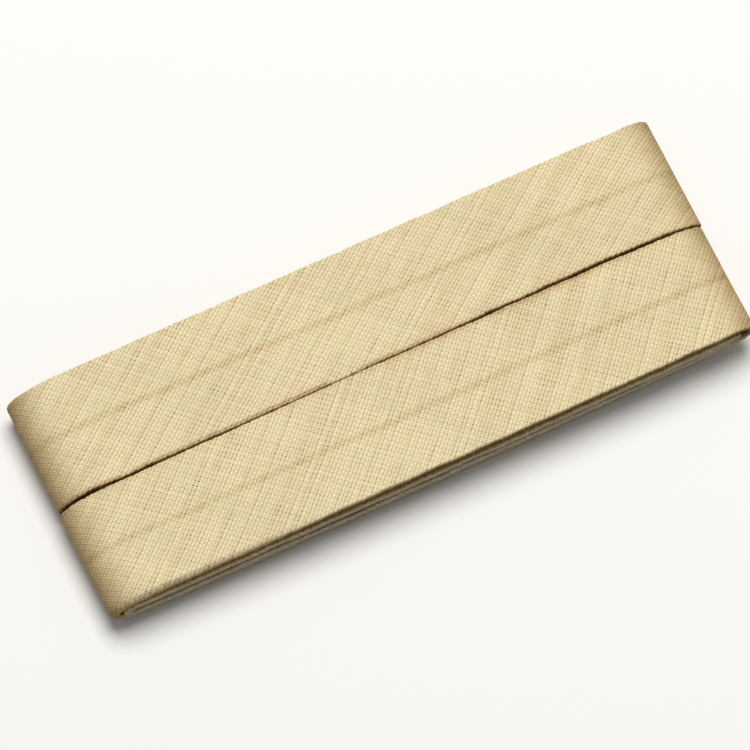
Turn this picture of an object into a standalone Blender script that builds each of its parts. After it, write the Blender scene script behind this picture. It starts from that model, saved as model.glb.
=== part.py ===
"""Roll of bias binding: one folded cloth tape wound flat in two columns side by side.

Metres, +Z up. X runs along the tape, Y across both columns, and Z = 0 is the flat
underside. The origin is the middle of that underside.
"""

import bpy
import bmesh
import numpy as np

# Driving dimensions
COLUMN_LENGTH = 0.07175
TAPE_WIDTH = 0.0124
FOLD_THICKNESS = 0.00105
TURN_GAP = 0.00025
BEND_GAP = 0.00030
EDGE_ROUNDING = 0.00026

# How far each column has slipped along X from the middle: the rear one to +X, the front one to -X
COLUMN_SLIP = 0.000075

# Cloth colour and finish
CLOTH_COLOR = (0.74, 0.62, 0.38, 1.0)
CLOTH_ROUGHNESS = 0.9

# Mesh fineness
FLAT_STEP = 0.0040
BEND_STEPS = 10
ACROSS_SHARES = (0.0, 0.3, 0.55, 0.8, 1.0)
EDGE_STEPS = 3

# How far the slow sideways wave moves on, in radians, from one stretch of the tape to the next
SWAY_SHIFT = -0.516

# Near the pack's +X end the slit drifts along Y. The drift starts at DRIFT_FROM, has its whole
# size at DRIFT_FULL and grows as a power of the way between them.
SLIT_DRIFT = -0.00035
DRIFT_FROM = 0.022
DRIFT_FULL = 0.0341
DRIFT_POWER = 1.6

TURN_PITCH = FOLD_THICKNESS + TURN_GAP
OUTER_REACH = (COLUMN_LENGTH - FOLD_THICKNESS) / 2
INNER_REACH = OUTER_REACH - FOLD_THICKNESS - BEND_GAP

# The stretches of one column, from its core outwards. Each lies flat on its "level", counted
# from the underside, and runs along X by its "heading" until it bends round to the next one.
# The tip of that bend is "reach" from the pack's middle and "depth" beyond the flat part.
STRETCHES = (
    {"level": 2, "heading": -1, "reach": INNER_REACH, "depth": 0.00068},
    {"level": 1, "heading": 1, "reach": OUTER_REACH, "depth": 0.0026},
    {"level": 3, "heading": -1, "reach": OUTER_REACH, "depth": 0.0042},
    {"level": 0, "heading": 1, "reach": None, "depth": None},
)
TOP_STRETCH = 2

# The two columns, one value in each list for each stretch. "side" is the side of the slit.
# "inner" is the gap from the slit's middle to the tape's edge there, and "spread" is how much
# wider than TAPE_WIDTH the tape is pressed. "fan" widens it evenly along X, and "belly" widens
# it at the pack's middle. "sway" is a slow sideways wave of both edges. The far fold of the top
# turn is pressed thinner from below: "pressed" pairs places along X, in column lengths from the
# middle, with the share of the thickness kept there.
COLUMNS = (
    {
        "name": "rear",
        "side": 1,
        "core_start": 0.0342,
        "tail_end": 0.0322,
        "inner": (-0.00005, 0.00014, 0.00012, 0.00013),
        "spread": (0.00005, -0.00005, 0.00012, -0.00002),
        "fan": (0.0, -0.0020, -0.0100, 0.0),
        "belly": (0.0, 0.0, 0.00006, 0.0),
        "sway": 0.00003,
        "sway_length": 0.070,
        "pressed": ((-0.35, 1.0), (-0.1, 0.85), (0.38, 0.85), (0.45, 1.0)),
    },
    {
        "name": "front",
        "side": -1,
        "core_start": 0.0342,
        "tail_end": 0.0304,
        "inner": (0.00026, 0.00014, 0.00012, 0.00014),
        "spread": (0.00001, 0.00003, 0.0, -0.00033),
        "fan": (0.0, 0.0, 0.0073, 0.0),
        "belly": (0.00016, 0.00026, 0.00019, 0.00042),
        "sway": 0.00003,
        "sway_length": 0.066,
        "pressed": ((-0.35, 1.0), (-0.17, 0.75), (0.1, 0.6), (0.38, 0.6), (0.45, 1.0)),
    },
)

# In the core the tape crosses from one column to the other, lying flat between two diagonal
# folds, so the crossing is as long as the tape is wide.
CROSSING_SPAN = 0.007
CROSSING_THINNER = 0.8


def level_height(level):
    """Height of the middle of the folded tape on this level."""
    return FOLD_THICKNESS / 2 + level * TURN_PITCH


def column_path(column):
    """Points (x, z) down the middle of the tape's thickness, and each point's stretch.

    The third value counts the stretches from 0 at the core. It is a whole number on a flat
    part and rises evenly round each bend.
    """
    rows = []
    start = column["core_start"]
    for index, stretch in enumerate(STRETCHES):
        z = level_height(stretch["level"])
        last = stretch["reach"] is None
        if last:
            end = column["tail_end"]
        else:
            end = stretch["heading"] * (stretch["reach"] - stretch["depth"])
        count = round(abs(end - start) / FLAT_STEP) + 1
        rows += [(x, z, index) for x in np.linspace(start, end, count)]
        if last:
            break
        next_z = level_height(STRETCHES[index + 1]["level"])
        middle, rise = (z + next_z) / 2, (z - next_z) / 2
        for step in range(1, BEND_STEPS):
            turn = step / BEND_STEPS
            x = end + stretch["heading"] * stretch["depth"] * np.sin(np.pi * turn)
            rows.append((x, middle + rise * np.cos(np.pi * turn), index + turn))
        start = end
    return np.array(rows)


def tape_edges(column, path):
    """Y of the tape's two edges at each point of the path: at the slit, and away from it."""
    along, stretch = path[:, 0], path[:, 2]

    def per_stretch(key):
        return np.interp(stretch, np.arange(len(STRETCHES)), column[key])

    phase = 2 * np.pi * along / column["sway_length"] + SWAY_SHIFT * stretch
    inner = per_stretch("inner") + column["sway"] * np.sin(phase)
    belly = per_stretch("belly") * np.cos(np.pi * along / COLUMN_LENGTH)
    width = TAPE_WIDTH + per_stretch("spread") + per_stretch("fan") * along + belly
    way = np.clip((along - DRIFT_FROM) / (DRIFT_FULL - DRIFT_FROM), 0, 1)
    drift = SLIT_DRIFT * way**DRIFT_POWER
    return column["side"] * inner + drift, column["side"] * (inner + width)


def tape_sheet(column):
    """Mesh of the middle surface of one column's tape, and the thickness kept at each vertex.

    The mesh is a grid laid along the column's path. Where the far fold of the top turn is
    pressed, the middle surface rises by half of what is lost, so that the top face stays flat.
    """
    path = column_path(column)
    slit_edge, far_edge = tape_edges(column, path)
    on_top = path[:, 2] == TOP_STRETCH
    places, shares = np.transpose(column["pressed"])
    pressed = np.where(on_top, np.interp(path[:, 0] / COLUMN_LENGTH, places, shares), 1.0)
    shape = bmesh.new()
    last_row = len(ACROSS_SHARES) - 1
    bmesh.ops.create_grid(shape, x_segments=len(path) - 1, y_segments=last_row, size=0.5)
    kept = []
    for vertex in shape.verts:
        station = round((vertex.co.x + 0.5) * (len(path) - 1))
        row = round((vertex.co.y + 0.5) * last_row)
        if column["side"] < 0:
            row = last_row - row
        x, z, _ = path[station]
        y = slit_edge[station] + ACROSS_SHARES[row] * (far_edge[station] - slit_edge[station])
        keep = pressed[station] if row == last_row else 1.0
        vertex.co = (x + column["side"] * COLUMN_SLIP, y, z + (1 - keep) * FOLD_THICKNESS / 2)
        kept.append(keep)
    mesh = bpy.data.meshes.new(column["name"] + "_column")
    shape.to_mesh(mesh)
    shape.free()
    return mesh, kept


def thicken(obj, kept):
    """Gives the sheet the folded tape's thickness and its pressed, slightly rounded edges."""
    group = obj.vertex_groups.new(name="thickness_kept")
    for index, keep in enumerate(kept):
        group.add([index], keep, "REPLACE")
    wall = obj.modifiers.new("fold_thickness", "SOLIDIFY")
    wall.thickness = FOLD_THICKNESS
    wall.offset = 0
    wall.vertex_group = group.name
    edges = obj.modifiers.new("folded_edges", "BEVEL")
    edges.width = EDGE_ROUNDING
    edges.segments = EDGE_STEPS
    edges.limit_method = "ANGLE"
    edges.angle_limit = np.radians(50)


def crossing_mesh():
    """Mesh of the short flat run that joins the two cores, on the core's own level."""
    core_start = COLUMNS[0]["core_start"]
    centre = (core_start - TAPE_WIDTH / 2, 0, level_height(STRETCHES[0]["level"]))
    shape = bmesh.new()
    bmesh.ops.create_cube(shape, size=1)
    bmesh.ops.scale(
        shape,
        verts=shape.verts,
        vec=(TAPE_WIDTH, CROSSING_SPAN, FOLD_THICKNESS * CROSSING_THINNER),
    )
    bmesh.ops.translate(shape, verts=shape.verts, vec=centre)
    mesh = bpy.data.meshes.new("crossing")
    shape.to_mesh(mesh)
    shape.free()
    return mesh


def cloth_material():
    material = bpy.data.materials.new("binding_cloth")
    material.use_nodes = True
    shader = material.node_tree.nodes["Principled BSDF"]
    shader.inputs["Base Color"].default_value = CLOTH_COLOR
    shader.inputs["Roughness"].default_value = CLOTH_ROUGHNESS
    shader.inputs["Metallic"].default_value = 0.0
    return material


def new_collection(name):
    collection = bpy.data.collections.new(name)
    bpy.context.scene.collection.children.link(collection)
    return collection


def add_helper(name, mesh, collection):
    helper = bpy.data.objects.new(name, mesh)
    helper.hide_render = True
    helper.display_type = "WIRE"
    collection.objects.link(helper)
    return helper


def join(obj, helper):
    union = obj.modifiers.new("join_" + helper.name, "BOOLEAN")
    union.operation = "UNION"
    union.solver = "EXACT"
    union.object = helper


def centre_across(objects):
    """Moves the meshes so that the widest points of the pack are equally far from Y = 0."""
    across = [vertex.co.y for obj in objects for vertex in obj.data.vertices]
    offset = (min(across) + max(across)) / 2
    for obj in objects:
        for vertex in obj.data.vertices:
            vertex.co.y -= offset


def main():
    for obj in list(bpy.data.objects):
        bpy.data.objects.remove(obj)
    roll = new_collection("bias_binding_roll")
    helpers = new_collection("helpers")
    rear, front = COLUMNS
    front_mesh, front_kept = tape_sheet(front)
    rear_mesh, rear_kept = tape_sheet(rear)
    winding = bpy.data.objects.new("wound_binding", front_mesh)
    roll.objects.link(winding)
    rear_column = add_helper("rear_column", rear_mesh, helpers)
    centre_across([winding, rear_column])
    thicken(winding, front_kept)
    thicken(rear_column, rear_kept)
    crossing = add_helper("crossing", crossing_mesh(), helpers)
    join(winding, crossing)
    join(winding, rear_column)
    winding.data.materials.append(cloth_material())
    winding.data.shade_smooth()
    winding.data.set_sharp_from_angle(angle=np.radians(40))


main()
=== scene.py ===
import bpy
import numpy as np
from mathutils import Matrix, Vector


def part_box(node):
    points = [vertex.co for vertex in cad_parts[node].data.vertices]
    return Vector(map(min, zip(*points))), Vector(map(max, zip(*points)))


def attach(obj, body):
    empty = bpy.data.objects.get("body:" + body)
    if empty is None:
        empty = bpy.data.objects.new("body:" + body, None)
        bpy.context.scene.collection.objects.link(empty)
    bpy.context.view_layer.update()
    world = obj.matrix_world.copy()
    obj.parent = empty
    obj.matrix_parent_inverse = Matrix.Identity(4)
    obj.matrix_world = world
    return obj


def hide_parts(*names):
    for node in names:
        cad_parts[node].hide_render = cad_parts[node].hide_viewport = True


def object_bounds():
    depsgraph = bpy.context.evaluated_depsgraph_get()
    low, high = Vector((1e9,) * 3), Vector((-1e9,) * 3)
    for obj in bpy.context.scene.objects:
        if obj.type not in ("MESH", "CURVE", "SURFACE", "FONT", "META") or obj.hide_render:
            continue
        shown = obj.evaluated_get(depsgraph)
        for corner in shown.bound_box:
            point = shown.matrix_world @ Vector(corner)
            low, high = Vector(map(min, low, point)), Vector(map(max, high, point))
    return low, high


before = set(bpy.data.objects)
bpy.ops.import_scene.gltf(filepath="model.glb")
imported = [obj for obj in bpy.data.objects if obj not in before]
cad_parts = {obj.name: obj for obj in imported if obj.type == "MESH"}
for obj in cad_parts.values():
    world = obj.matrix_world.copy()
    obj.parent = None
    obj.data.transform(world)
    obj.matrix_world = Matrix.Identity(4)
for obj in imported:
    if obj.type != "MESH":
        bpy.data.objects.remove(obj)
cadLow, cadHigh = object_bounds()

# the whole roll, in metres; the tape's levels are counted from the underside
roll = {
    "node": "wound_binding",
    "slot": "binding_cloth",
    "tapeWidth": 0.0124,       # folded, before each turn's own pressing
    "foldThickness": 0.00105,  # one folded turn of tape
    "turnGap": 0.00025,        # air between the turns on the flats
    "bendGap": 0.0003,         # air between the turns at the tip of a bend
    "swayShift": -0.516,       # radians that the sideways wave moves on at each turn
    "slitDrift": -0.00035,     # y the slit has moved by at the right end
    "driftFrom": 0.022,        # x where that starts, and where it is complete
    "driftFull": 0.0341,
    "driftPower": 1.6,         # and how it grows between the two
    "columnSlip": 0.000075,    # rear column to the right of the middle, front column to the left
    # the slit's half width is more or less by this, at these places along the pack
    "gape": {"at": [-0.46, -0.25, -0.05, 0.12, 0.43, 0.49],
             "by": [0.00003, 0.0, -0.00002, 0.0, 0.00003, -0.00005]},
    # how much shows of the painted shade in the slit; the columns give their painted shade beside it at
    # the same places
    "slitAt": [-0.46, -0.39, -0.28, -0.17, -0.05, 0.06, 0.17, 0.28, 0.39, 0.46],
    "slitDark": [0.85, 0.6, 0.38, 0.25, 0.35, 0.3, 0.55, 0.5, 0.75, 0.45],
}
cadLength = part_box(roll["node"])[1].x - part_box(roll["node"])[0].x - 2 * roll["columnSlip"]
turnPitch = roll["foldThickness"] + roll["turnGap"]
outerReach = (cadLength - roll["foldThickness"]) / 2
innerReach = outerReach - roll["foldThickness"] - roll["bendGap"]

# one column of tape from its core outwards: flat on a level, then round a bend to the next
stretches = [
    {"level": 2, "heading": -1, "reach": innerReach, "depth": 0.00068},
    {"level": 1, "heading": 1, "reach": outerReach, "depth": 0.0026},
    {"level": 3, "heading": -1, "reach": outerReach, "depth": 0.0042},
    {"level": 0, "heading": 1, "reach": None, "depth": None},
]
topStretch = 2

# the two columns; lists hold one value for each stretch. Below them come values that change along
# the pack, each with the places "at" which it is given, in pack lengths from the middle
rearColumn = {
    "name": "bindingRear",
    "side": 1,
    "coreStart": 0.0342,
    "tailEnd": 0.0322,
    "inner": [-0.00005, 0.00014, 0.00008, 0.00013],     # slit's middle to the tape's edge
    "spread": [0.00005, -0.00005, 0.00016, -0.00002],   # wider than tapeWidth by
    "fan": [0.0, -0.002, -0.01, 0.0],                   # widens evenly along x
    "belly": [0.0, 0.0, 0.00006, 0.0],                  # widens at the middle
    "sway": 0.00003,                                    # a slow sideways wave, and its length
    "swayLength": 0.070,
    # thickness that the top turn's far fold keeps, its share of the far folds' painted shade, and how
    # far its rim drops
    "pressed": {"at": [-0.5, 0.5], "keeps": [0.75, 0.6]},
    "foldTint": {"at": [-0.45, 0.45], "share": [0.5, 0.5]},
    "loose": {"at": [-0.47, -0.3], "drop": [0.0001, 0.0]},
    # how far the line over the raw edges is off the tape's middle
    "rawMiddle": {"at": [-0.36, 0.0, 0.36], "off": [0.0004, 0.0001, -0.00005]},
    # how much shows of the painted shade along the pressed line beside the slit, and of the blush of
    # painted shade over the cloth there, at slitAt
    "slitLine": [0.9, 0.9, 1.0, 1.0, 1.0, 0.7, 0.2, 0.1, 0.2, 0.2],
    "slitBlush": [0.2, 0.2, 0.3, 0.4, 0.5, 0.5, 0.4, 0.3, 0.2, 0.2],
    "seed": 3,
    # threads: degrees from the tape's run, and the degrees gained over the pack's length
    "weft": {"pitch": 0.00035, "angle": 36.9, "turn": 0.0},
    "warp": {"pitch": 0.0002535, "angle": -43.1, "turn": 0.0},
}
frontColumn = {
    "name": "bindingFront",
    "side": -1,
    "coreStart": 0.0342,
    "tailEnd": 0.0304,
    "inner": [0.00026, 0.00014, 0.00008, 0.00014],
    "spread": [0.00001, 0.00003, 0.00006, -0.00033],
    "fan": [0.003, 0.0, 0.0066, 0.0],
    "belly": [0.00016, 0.00026, 0.00019, 0.00042],
    "sway": 0.00003,
    "swayLength": 0.066,
    "pressed": {"at": [-0.42, -0.33, -0.17, 0.1], "keeps": [1.2, 1.05, 0.6, 0.28]},
    # the top turn's far fold takes this share of the far folds' painted shade
    "foldTint": {"at": [-0.47, -0.3, -0.1, 0.1], "share": [0.1, 0.3, 0.6, 0.75]},
    "loose": {"at": [-0.48, -0.4, -0.3, -0.15], "drop": [0.0004, 0.00035, 0.00022, 0.0]},
    "rawMiddle": {"at": [-0.36, 0.0, 0.36], "off": [0.00015, 0.0, 0.0]},
    "slitLine": [0.3, 0.2, 0.1, 0.1, 0.2, 0.4, 0.6, 0.7, 0.4, 0.2],
    "slitBlush": [0.3, 0.4, 0.3, 0.3, 0.6, 0.9, 1.0, 1.0, 0.7, 0.4],
    "seed": 8,
    "weft": {"pitch": 0.000358, "angle": 45.3, "turn": 8.6},
    "warp": {"pitch": 0.000265, "angle": -39.6, "turn": 2.2},
}

# the folded cloth of one turn
cloth = {
    "ply": 0.0002,           # thickness of one layer of cloth
    "foldRadius": 0.00012,   # of the pressed corners at a folded edge
    "rawGap": 0.00035,       # between the two raw edges under the middle
    "flatSteps": 8,          # mesh steps across the outer ply, round each corner, and so on
    "cornerSteps": 5,
    "sideSteps": 3,
    "flapSteps": 8,
    "alongStep": 0.0015,     # between rows on the hidden stretches
    "topStep": 0.0003,       # and on the top turn
    "rim": 0.00032,          # strip of the outer ply beside each fold, with steps of its own
    "rimSteps": 4,
    "bendSteps": 28,
    "ripple": 0.00003,       # soft waves out of the surface
    "rippleSize": 0.007,
    "ripplePower": 8,        # how late they end on the way from the middle to the folds
    "edgeWander": 0.00004,   # folded edges in and out
    "edgeSize": 0.004,
    "edgeFray": 0.00003,     # and the same in small
    "fraySize": 0.0009,
    "wanderPower": 6,        # how late both start on that way
    "foldsApart": 0.4,       # in the noise only, so that the two folds have waves of their own
    "plumpness": 0.12,       # how unevenly the folds are pressed
    "farFrom": 0.0015,       # from the tape's middle to where the far fold's own pressing starts
    "farFull": 0.0045,       # and to where it is complete
    "endShadeFrom": 0.0042,   # how far from the pack's ends the painted shade round the bends reaches
    "endShadePower": 2.5,
    "rimShade": 0.5,          # painted shade on a rim that drops by rimDrop
    "rimDrop": 0.0004,
    "rimFades": 1 / 3,       # share of the rim, from its crease, over which that sets in
    "gapDustWidth": 0.0014,  # strip of painted shade between the turns, along their far folds
}


def softNoise(u, v, size, seed):
    # sum of plane waves of about one wavelength "size", random in direction and phase, divided by
    # half their number, so that it stays near -1 to 1
    random = np.random.default_rng(seed)
    total = np.zeros(np.broadcast(u, v).shape)
    waveCount = 6
    for _ in range(waveCount):
        direction = random.uniform(0, 2 * np.pi)
        stretch = random.uniform(0.7, 1.6)
        phase = random.uniform(0, 2 * np.pi)
        run = (np.cos(direction) * u + np.sin(direction) * v) / (size * stretch)
        total = total + np.sin(2 * np.pi * run + phase)
    return total / (waveCount / 2)


def levelHeight(level):
    # half a turn's thickness, and one pitch for each level below
    return roll["foldThickness"] / 2 + level * turnPitch


def columnPath(column):
    # rows (x, z, stretch): straight runs joined by half ellipses, x = sine and z = cosine of the turn
    rows = []
    start = column["coreStart"]
    for index, stretch in enumerate(stretches):
        z = levelHeight(stretch["level"])
        last = stretch["reach"] is None
        end = column["tailEnd"] if last else stretch["heading"] * (stretch["reach"] - stretch["depth"])
        step = cloth["topStep"] if index == topStretch else cloth["alongStep"]
        xs = np.linspace(start, end, round(abs(end - start) / step) + 1)
        rows.append(np.column_stack([xs, np.full_like(xs, z), np.full_like(xs, index)]))
        if last:
            break
        nextZ = levelHeight(stretches[index + 1]["level"])
        turn = np.arange(1, cloth["bendSteps"]) / cloth["bendSteps"]
        bendX = end + stretch["heading"] * stretch["depth"] * np.sin(np.pi * turn)
        bendZ = (z + nextZ) / 2 + (z - nextZ) / 2 * np.cos(np.pi * turn)
        rows.append(np.column_stack([bendX, bendZ, index + turn]))
        start = end
    return np.concatenate(rows)


def tapeEdges(column, path):
    # y of the edge at the slit and of the far edge: each stretch's own gap and width, with a fan in
    # proportion to x, a cosine belly and a slow sine wave. Near the right end the slit drifts as a
    # power of the way there
    x, stretch = path[:, 0], path[:, 2]
    inner, spread, fan, belly = (
        np.interp(stretch, np.arange(len(stretches)), column[key])
        for key in ("inner", "spread", "fan", "belly")
    )
    phase = 2 * np.pi * x / column["swayLength"] + roll["swayShift"] * stretch
    gape = np.interp(x / cadLength, roll["gape"]["at"], roll["gape"]["by"])
    near = inner + column["sway"] * np.sin(phase) + gape
    width = roll["tapeWidth"] + spread + fan * x + belly * np.cos(np.pi * x / cadLength) - gape
    way = np.clip((x - roll["driftFrom"]) / (roll["driftFull"] - roll["driftFrom"]), 0, 1)
    drift = roll["slitDrift"] * way ** roll["driftPower"]
    return column["side"] * near + drift, column["side"] * (near + width)


def looseRim(column, x, y, v, nearTop):
    # how far the top turn's far rim drops at each place along the pack, and the share of that at each
    # place across, which grows evenly from the rim's crease to the fold
    loose = np.interp(x / cadLength, column["loose"]["at"], column["loose"]["drop"])[:, None] * nearTop
    outer = np.abs(v)[None, :] < roll["tapeWidth"] / 2
    toFold = (roll["tapeWidth"] / 2 - column["side"] * y)[None, :]
    return loose, outer * np.clip(1 - toFold / (cloth["rim"] + cloth["foldRadius"]), 0, 1)


def paintedShadeOf(column, x, y, v, nearTop):
    # three amounts for the painted shade in the colour: round the pack's ends (a power of the way past
    # the start of that shade), on the far fold (share of its first corner passed, and on the turns below
    # a band that fades over the gap strip's width) and millimetres from the near fold, where the slit's
    # painted shade goes. Apart from them comes the gap, the painted shade between the turns, which is
    # that band without the fold itself, and the top turn's underside over it
    pastEnd = np.abs(x)[:, None] - cadLength / 2 + cloth["endShadeFrom"]
    ends = np.clip(pastEnd / cloth["endShadeFrom"], 0, 1) ** cloth["endShadePower"]
    radius = cloth["foldRadius"]
    flat = roll["tapeWidth"] / 2 - radius - cloth["ply"] / 2
    turned = np.clip((np.abs(v) - flat) / (np.pi / 2 * radius), 0, 1)[None, :]
    toFar = (roll["tapeWidth"] / 2 - column["side"] * y)[None, :]
    # a band of painted shade along the far folds: on the turns below, and on the top turn's underside
    # over it
    band = np.clip(2 - 2 * toFar / cloth["gapDustWidth"], 0, 1)
    lowerTurnShade = band * (1 - nearTop)
    under = band * (turned == 1) * nearTop
    topFoldShade = column["foldTint"]
    topShare = 1 - nearTop * (1 - np.interp(x / cadLength, topFoldShade["at"], topFoldShade["share"])[:, None])
    onFarSide = (np.sign(v) == column["side"])[None, :]
    far = np.maximum(np.maximum(turned * topShare, lowerTurnShade), under) * onFarSide
    # painted shade on the top turn's dropping rim, growing with the drop
    loose, across = looseRim(column, x, y, v, nearTop)
    rimShade = loose / cloth["rimDrop"] * cloth["rimShade"]
    far = np.maximum(far, rimShade * np.minimum(across / cloth["rimFades"], 1))
    near = (roll["tapeWidth"] / 2 + column["side"] * y)[None, :] * 1000
    gap = np.maximum(lowerTurnShade * (1 - turned), under)
    shape = (len(x), len(v))
    wear, gaps = (
        np.stack([np.broadcast_to(part, shape) for part in amounts], axis=2)
        for amounts in ((ends, far, near), (gap, gap, gap))
    )
    return wear, gaps


def foldedSection():
    # the strip across: distance v from its middle, and its folded place (y, n), with n outwards from
    # the middle of the thickness. On each side come a flat outer ply, a quarter circle, a short
    # side, a second quarter circle and the flap under it
    radius, rise = cloth["foldRadius"], (roll["foldThickness"] - cloth["ply"]) / 2
    flat = roll["tapeWidth"] / 2 - radius - cloth["ply"] / 2
    corner, side = np.pi / 2 * radius, 2 * (rise - radius)
    flap = flat - cloth["rawGap"] / 2
    lengths = [flat - cloth["rim"], cloth["rim"], corner, side, corner, flap]
    order = ("flatSteps", "rimSteps", "cornerSteps", "sideSteps", "cornerSteps", "flapSteps")
    counts = [cloth[key] for key in order]
    starts = np.concatenate([[0], np.cumsum(lengths)])
    half = np.concatenate([[0]] + [
        start + length * np.arange(1, count + 1) / count
        for start, length, count in zip(starts, lengths, counts)
    ])
    first = np.clip(half - starts[2], 0, corner) / radius
    down = np.clip(half - starts[3], 0, side)
    second = np.clip(half - starts[4], 0, corner) / radius
    back = np.maximum(half - starts[5], 0)
    y = np.minimum(half, flat) + radius * np.sin(first) - radius * (1 - np.cos(second)) - back
    n = rise - radius * (1 - np.cos(first)) - down - radius * np.sin(second)
    v = np.concatenate([-half[:0:-1], half])
    return v, np.concatenate([-y[:0:-1], y]), np.concatenate([n[:0:-1], n]), rise


def threadCount(family, along, across):
    # threads crossed from the middle of the top: the cloth's place turned to the thread's angle and
    # divided by the pitch. The angle turns evenly along the pack, so the way travelled is its integral
    limit = cadLength * 0.55       # just past the ends; beyond it the angle stays
    near = np.clip(along, -limit, limit)
    base = np.radians(family["angle"])
    bend = np.radians(family["turn"]) / cadLength
    angle = base + bend * near
    travelled = near * np.sin(base) if bend == 0 else (np.cos(base) - np.cos(angle)) / bend
    travelled = travelled + (along - near) * np.sin(angle)
    return (across * np.cos(angle) - travelled) / family["pitch"]


def tapePoints(column):
    # each point is the path's place, plus the section's y across and its n along the outward normal
    # (the path's direction turned a quarter). Soft ripples move it along the normal and the folds
    # wander in and out, and both are sums of waves. An unevenly pressed fold keeps a share of its depth
    path = columnPath(column)
    x, z, stretch = path[:, 0], path[:, 1], path[:, 2]
    length = np.concatenate([[0], np.cumsum(np.hypot(np.diff(x), np.diff(z)))])
    tangent = np.column_stack([np.gradient(x, length), np.gradient(z, length)])
    tangent /= np.linalg.norm(tangent, axis=1)[:, None]
    nearEdge, farEdge = tapeEdges(column, path)
    v, y, n, rise = foldedSection()
    u = length[:, None]
    seed = column["seed"]
    onTop = stretch == topStretch
    along = np.interp(0, x[onTop][::-1], length[onTop][::-1]) - u        # grows with x on the top
    # how much of its thickness each fold keeps; the top turn's far fold has its own
    sideOf = np.sign(y)[None, :]
    foldPlace = sideOf * cloth["foldsApart"]
    uneven = softNoise(u, foldPlace, cloth["edgeSize"] * 2, seed + 2)
    press = 1 - cloth["plumpness"] * (1 + uneven)
    nearTop = np.clip(1 - np.abs(stretch - topStretch), 0, 1)[:, None]
    own = np.interp(x / cadLength, column["pressed"]["at"], column["pressed"]["keeps"])[:, None]
    farWay = (np.abs(y)[None, :] - cloth["farFrom"]) / (cloth["farFull"] - cloth["farFrom"])
    isFar = (sideOf == column["side"]) * np.clip(farWay, 0, 1)
    press = press * (1 - nearTop * isFar * (1 - own))
    edge = np.abs(y[None, :]) / (roll["tapeWidth"] / 2)      # 0 in the middle, 1 at the folds
    ripple = cloth["ripple"] * softNoise(u, v[None, :], cloth["rippleSize"], seed)
    ripple = ripple * (1 - edge ** cloth["ripplePower"])
    outN = rise - (rise - n[None, :]) * press + ripple
    loose, share = looseRim(column, x, y, v, nearTop)
    outN = outN - loose * share
    onTable = (stretch == len(stretches) - 1)[:, None]
    outN = np.where(onTable, n[None, :], outN)     # what lies on the table stays flat
    wander = cloth["edgeWander"] * softNoise(u, foldPlace, cloth["edgeSize"], seed + 1)
    wander = wander + cloth["edgeFray"] * softNoise(u, foldPlace, cloth["fraySize"], seed + 4)
    middle, wide = (nearEdge + farEdge) / 2, np.abs(farEdge - nearEdge) / roll["tapeWidth"]
    px = x[:, None] + outN * tangent[:, 1:2] + column["side"] * roll["columnSlip"]
    wander = sideOf * wander * edge ** cloth["wanderPower"]
    py = middle[:, None] + y[None, :] * wide[:, None] + wander
    pz = z[:, None] - outN * tangent[:, 0:1]
    across = np.broadcast_to(v[None, :], px.shape)
    middleAt = np.array(column["rawMiddle"]["at"]) * cadLength
    threads = np.stack([
        threadCount(column["weft"], along, across),
        threadCount(column["warp"], along, across),
        (across - np.interp(along, middleAt, column["rawMiddle"]["off"])) / roll["tapeWidth"],
    ], axis=2)
    looks = np.column_stack([
        np.interp(x / cadLength, roll["slitAt"], values)
        for values in (roll["slitDark"], column["slitLine"], column["slitBlush"])
    ])
    slit = np.repeat(looks[:, None, :], len(v), axis=1)
    wear, gap = paintedShadeOf(column, x, y, v, nearTop)
    attributes = {"threads": threads, "wear": wear, "gap": gap, "slit": slit}
    return np.stack([px, py, pz], axis=2), attributes, length[-1], v[-1] - v[0]


def gridFaces(rows, columns):
    # corners of each cell of a rows by columns grid, in one turning direction
    corner = (np.arange(rows - 1)[:, None] * columns + np.arange(columns - 1)[None, :]).ravel()
    return np.column_stack([corner, corner + 1, corner + columns + 1, corner + columns])


def meshFromGrid(name, points, attributes):
    # one vertex for each grid point, the cells between them as faces, and each attribute as a vector
    rows, columns = points.shape[:2]
    mesh = bpy.data.meshes.new(name)
    mesh.from_pydata(points.reshape(-1, 3).tolist(), [], gridFaces(rows, columns).tolist())
    for key, values in attributes.items():
        layer = mesh.attributes.new(key, "FLOAT_VECTOR", "POINT")
        layer.data.foreach_set("vector", values.reshape(-1).astype(np.float32))
    mesh.shade_smooth()
    piece = bpy.data.objects.new(name, mesh)
    bpy.context.scene.collection.objects.link(piece)
    return piece


def feed(tree, socket, value):
    # a link from another node's output, or else the value itself
    if isinstance(value, bpy.types.NodeSocket):
        tree.links.new(value, socket)
    else:
        socket.default_value = value


def calc(tree, operation, *values):
    # one Math node
    node = tree.nodes.new("ShaderNodeMath")
    node.operation = operation
    for socket, value in zip(node.inputs, values):
        feed(tree, socket, value)
    return node.outputs[0]


def times(tree, first, *others):
    # all the values multiplied together
    for other in others:
        first = calc(tree, "MULTIPLY", first, other)
    return first


def oneMinus(tree, value):
    return calc(tree, "SUBTRACT", 1.0, value)


def centred(tree, value):
    # from 0..1 to -0.5..0.5
    return calc(tree, "SUBTRACT", value, 0.5)


def smooth(tree, value, low, high):
    # 0 below low, 1 above high, and a smooth step between them
    node = tree.nodes.new("ShaderNodeMapRange")
    node.interpolation_type = "SMOOTHSTEP"
    tree.links.new(value, node.inputs["Value"])
    node.inputs["From Min"].default_value = low
    node.inputs["From Max"].default_value = high
    return node.outputs["Result"]


def mixColor(tree, factor, first, second, blend="MIX"):
    # the first colour at factor 0, and blended with the second at factor 1
    node = tree.nodes.new("ShaderNodeMix")
    node.data_type = "RGBA"
    node.blend_type = blend
    for index, value in ((0, factor), (6, first), (7, second)):
        feed(tree, node.inputs[index], value)
    return node.outputs[2]


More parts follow.
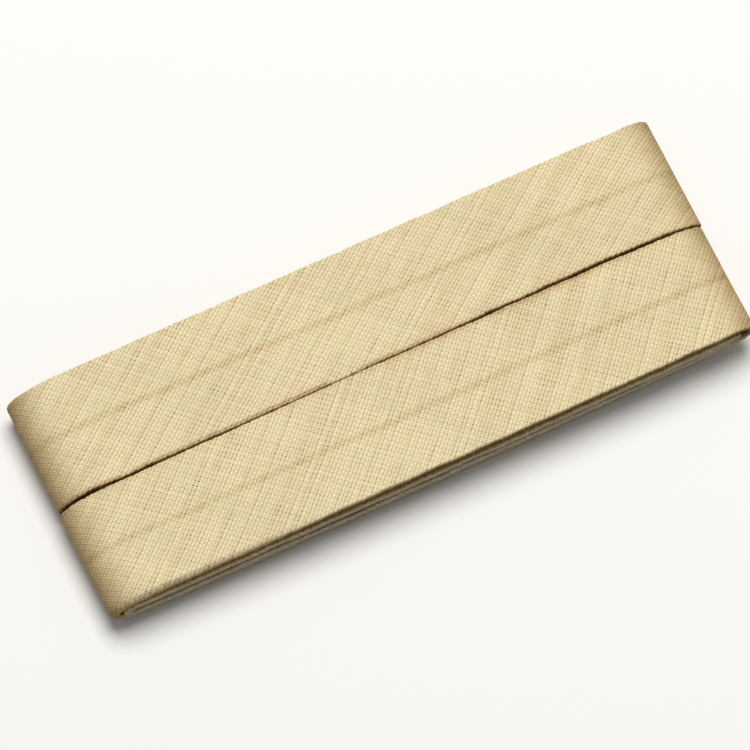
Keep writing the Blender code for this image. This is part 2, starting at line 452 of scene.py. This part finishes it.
def deepen(tree, color, tone, amount):
    # multiplies the colour by the tone raised to this amount, which keeps half-deep places warm
    node = tree.nodes.new("ShaderNodeGamma")
    feed(tree, node.inputs["Color"], tone)
    feed(tree, node.inputs["Gamma"], amount)
    return mixColor(tree, 1.0, color, node.outputs["Color"], "MULTIPLY")


def vector(tree, x, y, z):
    node = tree.nodes.new("ShaderNodeCombineXYZ")
    for socket, value in zip(node.inputs, (x, y, z)):
        feed(tree, socket, value)
    return node.outputs[0]


def parts(tree, value):
    # the three numbers of a vector
    node = tree.nodes.new("ShaderNodeSeparateXYZ")
    tree.links.new(value, node.inputs[0])
    return node.outputs


def noise(tree, place, scale, detail=2.0):
    # soft random values round 0.5
    node = tree.nodes.new("ShaderNodeTexNoise")
    node.inputs["Scale"].default_value = scale
    node.inputs["Detail"].default_value = detail
    tree.links.new(place, node.inputs["Vector"])
    return node.outputs["Fac"]


def newGroup(name, inputs, outputs):
    # an empty node group with these sockets, and its input and output nodes
    group = bpy.data.node_groups.new(name, "ShaderNodeTree")
    for label, kind, value in inputs:
        socket = group.interface.new_socket(name=label, in_out="INPUT", socket_type=kind)
        if value is not None:
            socket.default_value = value
    for label, kind in outputs:
        group.interface.new_socket(name=label, in_out="OUTPUT", socket_type=kind)
    return group, group.nodes.new("NodeGroupInput"), group.nodes.new("NodeGroupOutput")


# the threads of the weave, heights as shares of the bump's depth and widths as shares of a pitch
weaveForm = {
    "weft": {"base": 0.44, "swing": 0.17, "arch": 0.36, "dip": 0.14},    # runs nearly straight
    "warp": {"base": 0.34, "swing": 0.28, "arch": 0.3, "dip": 0.05},     # bends round the weft
    "wanderScale": 0.16,      # noise scale over thread counts
    "weftOff": 0.26,          # range of a weft thread's place to the side
    "ownWidth": 0.2,          # range of one thread's width to another's
    "slubWidth": 0.6,         # and of a thread's width along its run
    "slubScale": (3.7, 0.11),    # noise scales of that change, from thread to thread and along one
    "sideCrown": 0.3,         # share of its roundness at which a thread has its whole height
    "fuzz": 0.3,              # range of the loose fibres' height
    "fuzzScale": 2.3,
    "hollowHeights": (0.3, 0.95),    # the hollow is whole below the first, gone above the second
    "poreHeights": (0.05, 0.4),
    "weftShade": (0.45, 0.55),       # a thread's tone: its own, and as it changes along the thread
    "warpShade": (0.3, 0.45),
}


def plainWeaveGroup(form):
    # two thread families over and under each other, the warp in pairs. "Threads" counts the weft and
    # the warp threads crossed: the whole part numbers a thread, the fraction is the place on it
    group, given, out = newGroup("plainWeave", [
        ("Threads", "NodeSocketVector", None),
        ("Weft Width", "NodeSocketFloat", 0.8),
        ("Warp Width", "NodeSocketFloat", 0.8),
        ("Warp Pairing", "NodeSocketFloat", 0.1),
        ("Unevenness", "NodeSocketFloat", 0.3),
    ], [
        ("Height", "NodeSocketFloat"),
        ("Hollow", "NodeSocketFloat"),
        ("Pore", "NodeSocketFloat"),
        ("Thread Shade", "NodeSocketFloat"),
    ])
    rawWeft, rawWarp, _ = parts(group, given.outputs["Threads"])
    place = vector(group, rawWeft, rawWarp, 0.0)

    def wandering(count, offset):
        # threads that wander a little from a straight line
        shifted = vector(group, calc(group, "ADD", rawWeft, offset), rawWarp, offset)
        push = centred(group, noise(group, shifted, form["wanderScale"], 3.0))
        return calc(group, "MULTIPLY_ADD", push, given.outputs["Unevenness"], count)

    weft, warp = wandering(rawWeft, 11.0), wandering(rawWarp, 57.0)
    weftNumber, warpNumber = calc(group, "FLOOR", weft), calc(group, "FLOOR", warp)
    weftSpot = centred(group, calc(group, "SUBTRACT", weft, weftNumber))
    warpSpot = centred(group, calc(group, "SUBTRACT", warp, warpNumber))
    # warps lean towards their partner: the even ones up, the odd ones down
    second = calc(group, "FLOORED_MODULO", warpNumber, 2.0)
    lean = times(group, calc(group, "MULTIPLY_ADD", second, -2.0, 1.0), given.outputs["Warp Pairing"])
    warpSpot = calc(group, "SUBTRACT", warpSpot, lean)

    def threadTraits(number, run, offset):
        # one random value for the thread, and one that changes slowly along it
        white = group.nodes.new("ShaderNodeTexWhiteNoise")
        white.noise_dimensions = "1D"
        group.links.new(calc(group, "ADD", number, offset), white.inputs["W"])
        between, along = form["slubScale"]
        stretched = vector(group, times(group, number, between), times(group, run, along), offset)
        return white.outputs["Value"], noise(group, stretched, 1.0, 2.0)

    def crown(spot, width, whole, slub):
        # round thread: square root of one less the squared distance from its middle
        grow = calc(group, "MULTIPLY_ADD", centred(group, whole), form["ownWidth"], 1.0)
        grow = calc(group, "MULTIPLY_ADD", centred(group, slub), form["slubWidth"], grow)
        ratio = calc(group, "DIVIDE", spot, times(group, width, 0.5, grow))
        inside = oneMinus(group, times(group, ratio, ratio))
        return calc(group, "SQRT", calc(group, "MAXIMUM", inside, 0.0))

    def wave(run, number, sign):
        # rises over one crossing thread and dips under the next: cosine of half a turn a thread
        turns = calc(group, "ADD", centred(group, run), number)
        return times(group, calc(group, "COSINE", times(group, turns, np.pi)), sign)

    def threadHeight(crownValue, waveValue, crossed, shape):
        # base, plus swing times the wave, plus arch times the crown, less dip times the square of
        # the way from the crossed thread's middle to its edge; nothing beside the thread
        tall = calc(group, "MULTIPLY_ADD", waveValue, shape["swing"], shape["base"])
        tall = calc(group, "MULTIPLY_ADD", crownValue, shape["arch"], tall)
        tall = calc(group, "MULTIPLY_ADD", times(group, crossed, crossed), -4 * shape["dip"], tall)
        return times(group, tall, smooth(group, crownValue, 0.0, form["sideCrown"]))

    def threadShade(whole, slub, shares):
        return calc(group, "ADD", times(group, whole, shares[0]), times(group, slub, shares[1]))

    weftWhole, weftSlub = threadTraits(weftNumber, warp, 3.1)
    warpWhole, warpSlub = threadTraits(warpNumber, weft, 71.9)
    weftSpot = calc(group, "MULTIPLY_ADD", centred(group, weftWhole), form["weftOff"], weftSpot)
    weftCrown = crown(weftSpot, given.outputs["Weft Width"], weftWhole, weftSlub)
    warpCrown = crown(warpSpot, given.outputs["Warp Width"], warpWhole, warpSlub)
    weftHeight = threadHeight(weftCrown, wave(warp, weftNumber, 1.0), warpSpot, form["weft"])
    warpHeight = threadHeight(warpCrown, wave(weft, warpNumber, -1.0), weftSpot, form["warp"])
    fuzz = times(group, centred(group, noise(group, place, form["fuzzScale"], 4.0)), form["fuzz"])
    height = calc(group, "ADD", calc(group, "MAXIMUM", weftHeight, warpHeight), fuzz)
    hollow = oneMinus(group, smooth(group, height, *form["hollowHeights"]))
    pore = oneMinus(group, smooth(group, height, *form["poreHeights"]))
    weftOnTop = calc(group, "GREATER_THAN", weftHeight, warpHeight)
    weftShade = threadShade(weftWhole, weftSlub, form["weftShade"])
    warpShade = threadShade(warpWhole, warpSlub, form["warpShade"])
    shade = calc(group, "ADD", times(group, weftOnTop, weftShade),
                 times(group, oneMinus(group, weftOnTop), warpShade))
    for socket, value in zip(out.inputs, (height, hollow, pore, shade)):
        group.links.new(value, socket)
    return group


# painted shade at the ends, far folds, gaps and slit; reaches in millimetres from the near fold, scales
# over thread counts
paintedShadeMarks = {
    "endNoise": {"scale": 0.2, "swing": 0.7, "base": 0.65},    # of the painted shade at the ends
    "foldNoise": {"scale": 0.7, "swing": 1.6, "base": 0.2},    # and of the far folds
    "slitReach": (0.03, 0.2),    # the slit's painted shade is whole before the first, gone after the second
    "slitRagged": 0.25,          # range of its edge, and the edge's noise scale
    "slitScale": 0.3,
    "slitBase": 0.55,            # darkness between the dashes, to which noise of this scale is added
    "slitBaseScale": 0.5,
    "slitSwing": 0.4,            # of the dashes
    "lineReach": (0.13, 0.23, 0.3, 0.42),    # painted shade of the pressed line rises over the first two, then falls
    "lineScale": 0.08,           # of the breaks in it, and the noise it starts and is whole at
    "lineShows": (0.3, 0.5),
    "blushReach": (0.1, 1.3),
    "blushScale": 0.05,          # and the same for the blush of painted shade
    "blushShows": (0.3, 0.7),
    "blushShare": 0.45,          # of the pressed line's depth
}


def paintedShadeGroup(marks):
    # colour of cloth with painted shade: round the pack's ends, on the far folds, in the gaps between
    # the turns and in the slit between the columns. One vector holds the amount at the ends, the amount
    # on the far fold and millimetres from the near fold. "Gap" is 1 between the turns. "Slit Look" holds
    # how much shows of the painted shade in the slit, of the painted shade along the pressed line and of
    # the blush of painted shade
    group, given, out = newGroup("paintedShadeCloth", [
        ("Color", "NodeSocketColor", None),
        ("Painted Shade Amounts", "NodeSocketVector", None),
        ("Gap", "NodeSocketFloat", 0.0),
        ("Slit Look", "NodeSocketVector", None),
        ("Place", "NodeSocketVector", None),
        ("End Shade Color", "NodeSocketColor", (0.5, 0.42, 0.33, 1.0)),
        ("Far Fold Shade Color", "NodeSocketColor", (0.5, 0.42, 0.33, 1.0)),
        ("Gap Shade Color", "NodeSocketColor", (0.5, 0.42, 0.33, 1.0)),
        ("Slit Shade Color", "NodeSocketColor", (0.3, 0.2, 0.1, 1.0)),
        ("Press Shade Color", "NodeSocketColor", (0.75, 0.6, 0.5, 1.0)),
    ], [("Color", "NodeSocketColor")])
    ends, side, near = parts(group, given.outputs["Painted Shade Amounts"])
    dark, line, blush = parts(group, given.outputs["Slit Look"])
    place = given.outputs["Place"]

    def patchyAmount(amount, look, detail):
        # the amount times noise that is stretched by the swing and lifted by the base
        patches = noise(group, place, look["scale"], detail)
        return times(group, amount, calc(group, "MULTIPLY_ADD", patches, look["swing"], look["base"]))

    # painted shade round the ends, and on the far folds with the gaps between the turns
    darkEnds = patchyAmount(ends, marks["endNoise"], 3.0)
    color = deepen(group, given.outputs["Color"], given.outputs["End Shade Color"], darkEnds)
    tone = mixColor(group, given.outputs["Gap"], given.outputs["Far Fold Shade Color"], given.outputs["Gap Shade Color"])
    color = deepen(group, color, tone, patchyAmount(side, marks["foldNoise"], 2.0))
    # painted shade in the slit, with a ragged edge, darker where the fold crosses the gap between two
    # weft threads
    push = centred(group, noise(group, place, marks["slitScale"], 2.0))
    ragged = calc(group, "MULTIPLY_ADD", push, marks["slitRagged"], near)
    slit = oneMinus(group, smooth(group, ragged, *marks["slitReach"]))
    weftCount = parts(group, place)[0]
    dashed = calc(group, "COSINE", times(group, weftCount, 2 * np.pi))
    base = calc(group, "ADD", noise(group, place, marks["slitBaseScale"], 1.0), marks["slitBase"])
    dashed = calc(group, "MULTIPLY_ADD", dashed, marks["slitSwing"], base)
    slit = times(group, slit, times(group, dark, dashed))
    color = deepen(group, color, given.outputs["Slit Shade Color"], slit)
    # beside it painted shade along a pressed line, broken in places
    rises = smooth(group, ragged, *marks["lineReach"][:2])
    falls = smooth(group, ragged, *marks["lineReach"][2:])
    broken = smooth(group, noise(group, place, marks["lineScale"], 2.0), *marks["lineShows"])
    press = times(group, calc(group, "SUBTRACT", rises, falls), times(group, broken, line))
    # and a faint blush of painted shade over the first millimetre of cloth
    fades = oneMinus(group, smooth(group, near, *marks["blushReach"]))
    patchy = smooth(group, noise(group, place, marks["blushScale"], 2.0), *marks["blushShows"])
    blush = times(group, fades, patchy, blush)
    press = calc(group, "MULTIPLY_ADD", blush, marks["blushShare"], press)
    color = deepen(group, color, given.outputs["Press Shade Color"], press)
    group.links.new(color, out.inputs["Color"])
    return group


# the cream cotton, colours as linear light
cottonLook = {
    "thread": (0.79, 0.674, 0.412, 1.0),
    "paleThread": (0.95, 0.872, 0.62, 1.0),
    "deepThread": (0.60, 0.487, 0.265, 1.0),
    "ownTone": 0.55,          # how far each thread keeps its own tone
    # painted shade in the hollows between the threads and in the pores, with their strengths
    "hollow": (0.48, 0.37, 0.21, 1.0),
    "hollowStrength": 0.58,
    "pore": (0.22, 0.14, 0.06, 1.0),
    "poreStrength": 0.55,
    "looseSize": 0.13,        # patches of looser weave, whose painted pore shade is deeper by looseShare
    "looseRange": (0.4, 0.7),
    "looseShare": 1.25,
    "closeShare": 0.38,       # and how deep the other pores are
    "poreGrain": 0.8,         # noise scale of each pore's own depth, and that depth's swing and base
    "poreSwing": 2.4,
    "poreBase": -0.3,
    "closerAt": 0.08,         # end amount where the pores have closed by closedBy
    "closedBy": 0.75,
    "pinkPatch": (1.015, 0.985, 0.985, 1.0),
    "greenPatch": (0.985, 1.0, 0.975, 1.0),
    "patchSize": 0.09,        # noise scale over thread counts, and the noise they change over
    "patchRange": (0.35, 0.65),
    "mottle": 0.09,           # lighter and darker by this, in patches
    "mottleSize": 0.03,
    "grain": 0.13,            # and from fibre to fibre
    "grainSize": 0.9,
    "lineWidth": 0.046,       # the faint line over the raw edges, in tape widths, and its wandering
    "lineWander": 0.05,
    "lineWanderSize": 0.045,
    "lineCore": 0.2,          # share of its width over which it is whole
    "lineNoise": {"scale": 0.09, "swing": 1.4, "base": 0.3},    # how unevenly it shows
    "lineStrength": 0.5,      # how much deeper its hollows are
    "lineColor": (0.92, 0.88, 0.84, 1.0),
    "weftWidth": 0.80,
    "warpWidth": 0.68,
    "warpPairing": 0.1,
    "unevenness": 0.45,
    "bumpDepth": 0.00007,
    "roughness": 0.86,
    "hollowRoughness": 0.1,   # added in the hollows
    "specular": 0.1,
    "sheen": 0.1,
    "sheenRoughness": 0.5,
    "endShadeColor": (0.40, 0.32, 0.23, 1.0),     # painted shade round the ends; multiplies the cloth's colour
    "farFoldShadeColor": (0.57, 0.56, 0.60, 1.0),    # painted shade on the far folds, and in the gaps between the turns
    "gapShadeColor": (0.61, 0.51, 0.33, 1.0),
    # painted shade in the slit, and along the pressed line and its blush beside it
    "slitShadeColor": (0.13, 0.065, 0.022, 1.0),
    "pressShadeColor": (0.70, 0.58, 0.50, 1.0),
}


def cottonMaterial(name, look, weave, paintedShadeTree):
    material = bpy.data.materials.new(name)
    material.use_nodes = True
    tree = material.node_tree
    shader = tree.nodes["Principled BSDF"]

    def attribute(label):
        node = tree.nodes.new("ShaderNodeAttribute")
        node.attribute_name = label
        return node.outputs["Vector"]

    def groupNode(group, values):
        node = tree.nodes.new("ShaderNodeGroup")
        node.node_tree = group
        for label, value in values.items():
            feed(tree, node.inputs[label], value)
        return node

    threads, wear = attribute("threads"), attribute("wear")
    cell = groupNode(weave, {
        "Threads": threads,
        "Weft Width": look["weftWidth"],
        "Warp Width": look["warpWidth"],
        "Warp Pairing": look["warpPairing"],
        "Unevenness": look["unevenness"],
    })
    # each thread's own tone, then patches of tone and of hue over the cloth
    own = mixColor(tree, cell.outputs["Thread Shade"], look["deepThread"], look["paleThread"])
    color = mixColor(tree, look["ownTone"], look["thread"], own)
    patches = centred(tree, noise(tree, threads, look["mottleSize"], 3.0))
    grain = centred(tree, noise(tree, threads, look["grainSize"], 3.0))
    tone = calc(tree, "MULTIPLY_ADD", patches, look["mottle"] * 2, 1.0)
    tone = calc(tree, "MULTIPLY_ADD", grain, look["grain"] * 2, tone)
    color = mixColor(tree, 1.0, color, vector(tree, tone, tone, tone), "MULTIPLY")
    hue = smooth(tree, noise(tree, threads, look["patchSize"], 2.0), *look["patchRange"])
    hue = mixColor(tree, hue, look["greenPatch"], look["pinkPatch"])
    color = mixColor(tree, 1.0, color, hue, "MULTIPLY")
    # the line over the gap between the raw edges, where the painted shade of hollows and pores is deeper
    wander = centred(tree, noise(tree, threads, look["lineWanderSize"], 2.0))
    wander = times(tree, wander, look["lineWander"])
    fromMiddle = calc(tree, "ABSOLUTE", calc(tree, "ADD", parts(tree, threads)[2], wander))
    core = look["lineCore"] * look["lineWidth"]
    line = oneMinus(tree, smooth(tree, fromMiddle, core, look["lineWidth"]))
    shows = noise(tree, threads, look["lineNoise"]["scale"], 2.0)
    shows = calc(tree, "MULTIPLY_ADD", shows, look["lineNoise"]["swing"], look["lineNoise"]["base"])
    line = times(tree, line, shows)
    color = deepen(tree, color, look["lineColor"], line)
    deeper = calc(tree, "MULTIPLY_ADD", line, look["lineStrength"], 1.0)
    # painted shade in the hollows between the threads
    hollow = times(tree, cell.outputs["Hollow"], look["hollowStrength"], deeper)
    color = mixColor(tree, calc(tree, "MINIMUM", hollow, 1.0), color, look["hollow"])
    # painted shade in the pores, in patches, each of its own depth, and closed where the cloth is
    # stretched round the ends
    looser = smooth(tree, noise(tree, threads, look["looseSize"], 3.0), *look["looseRange"])
    looser = calc(tree, "MULTIPLY_ADD", looser, look["looseShare"], look["closeShare"])
    ownDepth = noise(tree, threads, look["poreGrain"], 1.0)
    ownDepth = calc(tree, "MULTIPLY_ADD", ownDepth, look["poreSwing"], look["poreBase"])
    ownDepth = times(tree, calc(tree, "MAXIMUM", ownDepth, 0.0), looser)
    closer = smooth(tree, parts(tree, wear)[0], 0.0, look["closerAt"])
    ownDepth = times(tree, ownDepth, calc(tree, "MULTIPLY_ADD", closer, -look["closedBy"], 1.0))
    pore = times(tree, cell.outputs["Pore"], look["poreStrength"], deeper, ownDepth)
    color = mixColor(tree, calc(tree, "MINIMUM", pore, 1.0), color, look["pore"])
    # painted shade round the ends, on the far folds, in the gaps between the turns and in the slit
    paintedShadeNode = groupNode(paintedShadeTree, {
        "Color": color,
        "Painted Shade Amounts": wear,
        "Gap": attribute("gap"),
        "Slit Look": attribute("slit"),
        "Place": threads,
        "End Shade Color": look["endShadeColor"],
        "Far Fold Shade Color": look["farFoldShadeColor"],
        "Gap Shade Color": look["gapShadeColor"],
        "Slit Shade Color": look["slitShadeColor"],
        "Press Shade Color": look["pressShadeColor"],
    })
    bump = tree.nodes.new("ShaderNodeBump")
    bump.inputs["Distance"].default_value = look["bumpDepth"]
    bump.inputs["Strength"].default_value = 1.0
    tree.links.new(cell.outputs["Height"], bump.inputs["Height"])
    rough = times(tree, cell.outputs["Hollow"], look["hollowRoughness"])
    rough = calc(tree, "ADD", rough, look["roughness"])
    for label, value in {
        "Base Color": paintedShadeNode.outputs["Color"],
        "Normal": bump.outputs["Normal"],
        "Roughness": rough,
        "Specular IOR Level": look["specular"],
        "Sheen Weight": look["sheen"],
        "Sheen Roughness": look["sheenRoughness"],
        "Sheen Tint": look["thread"],
    }.items():
        feed(tree, shader.inputs[label], value)
    return material


plainWeave, paintedShadeCloth = plainWeaveGroup(weaveForm), paintedShadeGroup(paintedShadeMarks)
cotton = cottonMaterial("bindingCotton", cottonLook, plainWeave, paintedShadeCloth)
print("cotton ready")

# both columns are moved together so that the pack's widest points are equally far from y = 0
built = [(column, *tapePoints(column)) for column in (rearColumn, frontColumn)]
allY = np.concatenate([points[:, :, 1].ravel() for _, points, *_ in built])
centreY = (allY.min() + allY.max()) / 2
for column, points, attributes, length, width in built:
    points[:, :, 1] -= centreY
    piece = meshFromGrid(column["name"], points, attributes)
    piece.data.materials.append(cotton)
    wall = piece.modifiers.new("plyThickness", "SOLIDIFY")
    wall.thickness = cloth["ply"]
    wall.offset = 0
    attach(piece, "root")
    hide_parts(roll["node"])
    print(f"{column['name']}: {length * 1000:.0f} mm of tape, cut {width * 1000:.1f} mm wide")

# pale floor and one soft lamp above the rear right
studio = {
    "floorSize": 3.0,
    "floorColor": (0.85, 0.85, 0.845, 1.0),
    "floorRoughness": 0.9,
    "worldColor": (1.0, 1.0, 1.0, 1.0),
    "worldStrength": 0.25,
    "keyPlace": (0.2, 0.36, 0.92),
    "keySize": 0.75,
    "keyPower": 11.1,
    "keyColor": (1.0, 0.98, 0.95),
}


def addFloor():
    size = studio["floorSize"] / 2
    mesh = bpy.data.meshes.new("floor")
    corners = [(-size, -size, 0), (size, -size, 0), (size, size, 0), (-size, size, 0)]
    mesh.from_pydata(corners, [], [(0, 1, 2, 3)])
    floor = bpy.data.objects.new("floor", mesh)
    bpy.context.scene.collection.objects.link(floor)
    floor.location.z = cadLow.z
    material = bpy.data.materials.new("paleFloor")
    material.use_nodes = True
    shader = material.node_tree.nodes["Principled BSDF"]
    shader.inputs["Base Color"].default_value = studio["floorColor"]
    shader.inputs["Roughness"].default_value = studio["floorRoughness"]
    mesh.materials.append(material)


def addLights():
    # white sky all round, and a disk lamp that shines at the origin
    world = bpy.data.worlds.new("softSky")
    world.use_nodes = True
    sky = world.node_tree.nodes["Background"]
    sky.inputs["Color"].default_value = studio["worldColor"]
    sky.inputs["Strength"].default_value = studio["worldStrength"]
    bpy.context.scene.world = world
    data = bpy.data.lights.new("keyLight", "AREA")
    data.shape = "DISK"
    data.size = studio["keySize"]
    data.energy = studio["keyPower"]
    data.color = studio["keyColor"]
    light = bpy.data.objects.new("keyLight", data)
    light.location = studio["keyPlace"]
    light.rotation_euler = Vector(studio["keyPlace"]).to_track_quat("Z", "Y").to_euler()
    bpy.context.scene.collection.objects.link(light)


# camera at the photograph's angle; pixels are those of the 750 by 750 picture
view = {
    "azimuth": -25.9,
    "elevation": 68.0,
    "lens": 600.0,
    "sensor": 36.0,
    "pictureSize": 750,
    "pixelsPerMetre": 9940.0,
    "topMiddleAt": (381.0, 360.8),   # where the middle of the top face stands in the picture
}


def addCamera():
    # looks from azimuth and elevation at the point that puts the top's middle where the photograph
    # has it, from as far as the lens needs for this many pixels to the metre
    azimuth, elevation = np.radians(view["azimuth"]), np.radians(view["elevation"])
    level = np.cos(elevation)
    back = Vector((np.sin(azimuth) * level, -np.cos(azimuth) * level, np.sin(elevation)))
    right = Vector((np.cos(azimuth), np.sin(azimuth), 0))
    up = back.cross(right)
    half = view["pictureSize"] / 2
    shiftX = (view["topMiddleAt"][0] - half) / view["pixelsPerMetre"]
    shiftY = (half - view["topMiddleAt"][1]) / view["pixelsPerMetre"]
    aim = Vector((0, 0, cadHigh.z)) - right * shiftX - up * shiftY
    distance = view["lens"] / view["sensor"] * view["pictureSize"] / view["pixelsPerMetre"]
    data = bpy.data.cameras.new("camera")
    data.lens = view["lens"]
    data.sensor_width = view["sensor"]
    data.clip_start = 0.05
    data.clip_end = 20
    camera = bpy.data.objects.new("camera", data)
    turn = Matrix((right, up, back)).transposed().to_4x4()
    camera.matrix_world = Matrix.Translation(aim + back * distance) @ turn
    bpy.context.scene.collection.objects.link(camera)
    bpy.context.scene.camera = camera


addFloor()
addLights()
addCamera()
bpy.context.scene.view_settings.view_transform = "Standard"   # plain photographic colours
print("studio ready")
